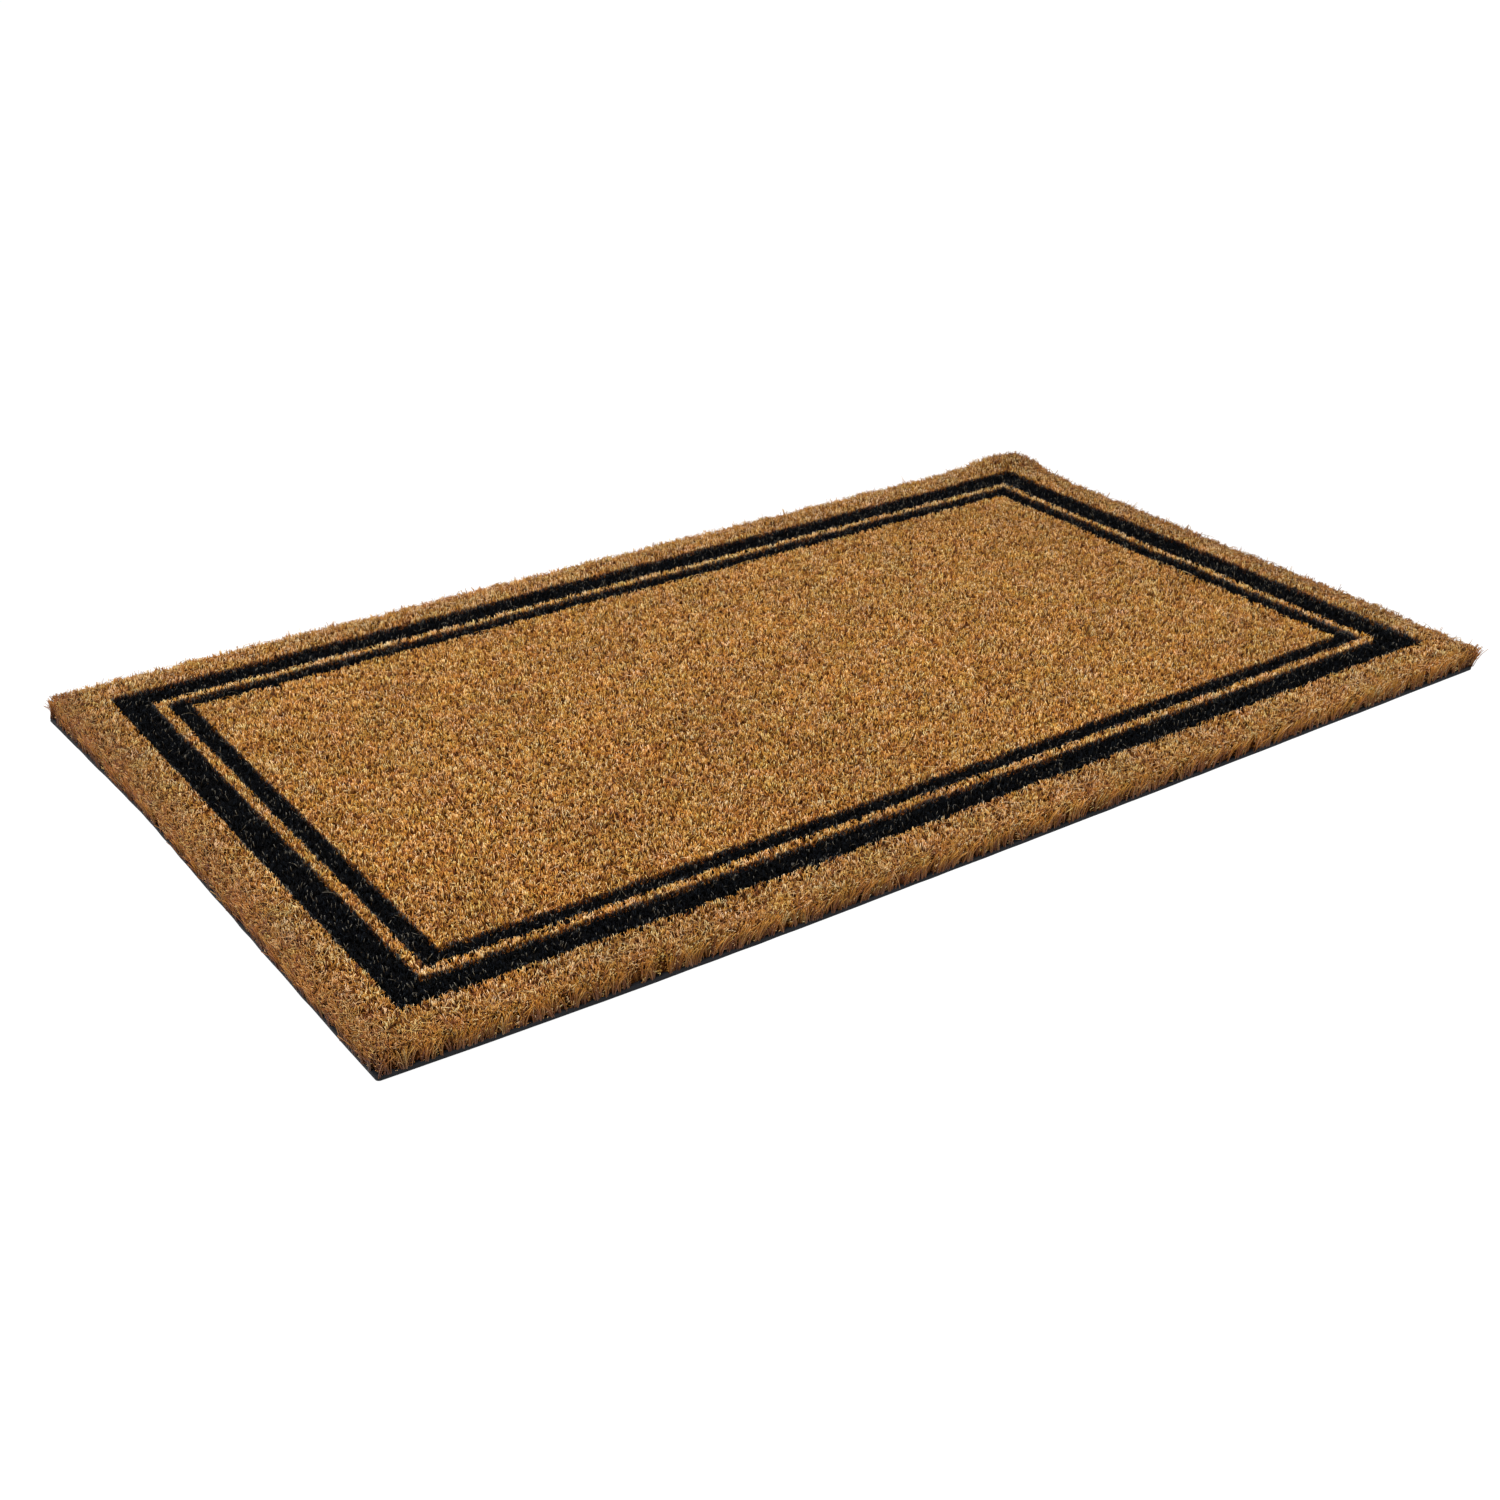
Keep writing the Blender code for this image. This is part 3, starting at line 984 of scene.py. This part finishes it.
def strays():
    """Longer, finer fibres that curl over the top and poke out past the edge: spines, radii and tones."""
    count = STRAY_COUNT
    third = count // 3
    x, y = scattered(count)
    for coordinate, half, chosen in ((x, HALF_X, slice(0, third)), (y, HALF_Y, slice(third, 2 * third))):
        inset = STRAY_EDGE_INSET + STRAY_EDGE_WIDTH * rng.uniform(size=third) ** 2
        coordinate[chosen] = np.sign(coordinate[chosen]) * (half - inset)
    surface = cut_height(x, y)
    roots = np.column_stack([x, y, surface - STRAY_DEPTH])
    lean = [rng.uniform(*ends, count) for ends in STRAY_LEAN]
    length = rng.uniform(*STRAY_LENGTH, count)
    heading = rng.uniform(0, math.tau, count)
    spines = grown(roots, heading, lean, length, rng.normal(0, STRAY_TURN, count), STRAY_SEGMENTS)
    rise = surface + STRAY_ABOVE * rng.uniform(size=count) ** 1.5 - roots[:, 2]
    own_rise = np.maximum(spines[:, :, 2].max(axis=1) - roots[:, 2], LEAST_RISE)
    spines[:, :, 2] = roots[:, 2:] + (spines[:, :, 2] - roots[:, 2:]) * (rise / own_rise)[:, None]
    inside = (edge_distance(spines[:, :, 0], spines[:, :, 1]) > -STRAY_OVERHANG).all(axis=1)
    tone = drawn_tones(*STRAY_TONE, count)
    return spines[inside], rng.uniform(*STRAY_RADIUS, count)[inside], tone[inside]


def split_and_add(name, chosen, fibres, look, *nodes, root_shade_level=0.0):
    """Adds the chosen fibres as one piece, or as strips along the mat if they are too many for one."""
    spines, radius, tone = fibres
    material, slot = look
    index = np.flatnonzero(chosen)
    index = index[np.argsort(spines[index, 0, 1])]
    triangles = 2 * TUBE_SIDES * (spines.shape[1] - 1) + 2 * (TUBE_SIDES - 2)
    parts = math.ceil(len(index) * triangles / MOST_TRIANGLES)
    for number, part in enumerate(np.array_split(index, parts), start=1):
        label = name if parts == 1 else f"{name}_{number}"
        obj = add_fibres(label, spines[part], radius[part], tone[part], root_shade_level)
        finish_piece(obj, material, slot, *nodes)


def places_of(fibres, point):
    """Where that point of each fibre is on the mat: 0 is its root, and -1 its tip."""
    return fibres[0][:, point, 0], fibres[0][:, point, 1]


def over_bands(fibres):
    """Which fibres have their tips over a dyed band."""
    return np.isin(zone_of(*places_of(fibres, -1)), (OUTER_BAND, INNER_BAND))


def build_pile():
    """All the pile's pieces. Those that show a zone of the pile stand for the CAD's solids of that zone."""
    plain = (coir_material("coir", COIR_SHINE), "coir")
    dyed = (coir_material("dyed_coir", DYED_SHINE), "dyed_coir")
    undercoat()
    fibres = top_fibres()
    zone, side = zone_of(*places_of(fibres, -1)), side_of(*places_of(fibres, -1))
    for number, name in enumerate(ZONES[:FIELD]):
        look = dyed if number in (OUTER_BAND, INNER_BAND) else plain
        for k, side_name in enumerate(SIDES):
            split_and_add(f"{name}_fibres_{side_name}", (zone == number) & (side == k), fibres, look,
                          f"pile_{name}_{side_name}")
    split_and_add("field_fibres", zone == FIELD, fibres, plain, "pile_field")

    bent = bent_fibres()
    within = edge_distance(*places_of(bent, 0)) > ROOT_INSET
    dark = over_bands(bent)
    split_and_add("bent_fibres", within & ~dark, bent, plain)
    split_and_add("dyed_bent_fibres", within & dark, bent, dyed)

    edge = (("edge_tufts", edge_tufts, TUFT_ROOT_SHADE_LEVEL), ("edge_stubs", side_stubs, STUB_ROOT_SHADE_LEVEL))
    for name, make, root_shade_level in edge:
        bristles = make()
        side = side_of(*places_of(bristles, 0))
        for k, side_name in enumerate(SIDES):
            split_and_add(f"{name}_{side_name}", side == k, bristles, plain, f"pile_margin_{side_name}",
                          root_shade_level=root_shade_level)

    loose = strays()
    dark = over_bands(loose)
    split_and_add("stray_fibres", ~dark, loose, plain)
    split_and_add("dyed_stray_fibres", dark, loose, dyed)


# ---------------------------------------------------------------- the studio

def add_camera():
    """The camera that the mat is seen from."""
    data = bpy.data.cameras.new("camera")
    data.lens = CAMERA_LENS_MM
    data.clip_start, data.clip_end = CAMERA_REACH
    camera = bpy.data.objects.new("camera", data)
    bpy.context.scene.collection.objects.link(camera)
    forward = Vector((
        math.sin(CAMERA_HEADING) * math.cos(CAMERA_DOWN),
        math.cos(CAMERA_HEADING) * math.cos(CAMERA_DOWN),
        -math.sin(CAMERA_DOWN),
    ))
    turned = forward.to_track_quat("-Z", "Y").to_matrix().to_4x4() @ Matrix.Rotation(CAMERA_ROLL, 4, "Z")
    camera.matrix_world = Matrix.Translation(CAMERA_PLACE) @ turned
    bpy.context.scene.camera = camera


def add_light(name, place, size, power):
    """A soft square light that faces the mat."""
    data = bpy.data.lights.new(name, "AREA")
    data.size = size
    data.energy = power
    light = bpy.data.objects.new(name, data)
    light.location = place
    light.rotation_mode = "QUATERNION"
    light.rotation_quaternion = (-Vector(place)).to_track_quat("-Z", "Y")
    bpy.context.scene.collection.objects.link(light)


def floor_material():
    """A grey that also glows, so that it comes out white."""
    g = Graph("floor")
    g.shader.inputs["Emission Color"].default_value = WHITE
    g.shader.inputs["Emission Strength"].default_value = 1.0
    return g.surface(FLOOR_GREY, FLOOR_ROUGHNESS, 0.0)


def add_floor():
    """The white floor, just below the mat."""
    mesh = bpy.data.meshes.new("floor")
    reach = FLOOR_REACH
    corners = [(x * reach, y * reach, -FLOOR_GAP) for x, y in ((-1, -1), (1, -1), (1, 1), (-1, 1))]
    mesh.from_pydata(corners, [], [(0, 1, 2, 3)])
    mesh.materials.append(floor_material())
    floor = bpy.data.objects.new("floor", mesh)
    bpy.context.scene.collection.objects.link(floor)


def add_world():
    """White light from all round, stronger from low down."""
    world = bpy.data.worlds.new("studio")
    world.use_nodes = True
    tree = world.node_tree
    direction = tree.nodes.new("ShaderNodeTexCoord").outputs["Generated"]
    upwards = tree.nodes.new("ShaderNodeSeparateXYZ")
    tree.links.new(direction, upwards.inputs[0])
    level = tree.nodes.new("ShaderNodeMapRange")
    tree.links.new(upwards.outputs[2], level.inputs["Value"])
    for key, value in enumerate((*WORLD_RISE, *WORLD_STRENGTH), start=1):
        level.inputs[key].default_value = value
    tree.links.new(level.outputs[0], tree.nodes["Background"].inputs["Strength"])
    tree.nodes["Background"].inputs["Color"].default_value = WHITE
    bpy.context.scene.world = world


def add_studio():
    """A white floor, soft light from above and from the front, and light from all round."""
    add_floor()
    add_light("key", KEY_PLACE, KEY_SIZE, KEY_POWER)
    add_world()
    bpy.context.scene.view_settings.view_transform = "Standard"


add_camera()
sheet = vinyl_sheet()
build_pile()
add_studio()
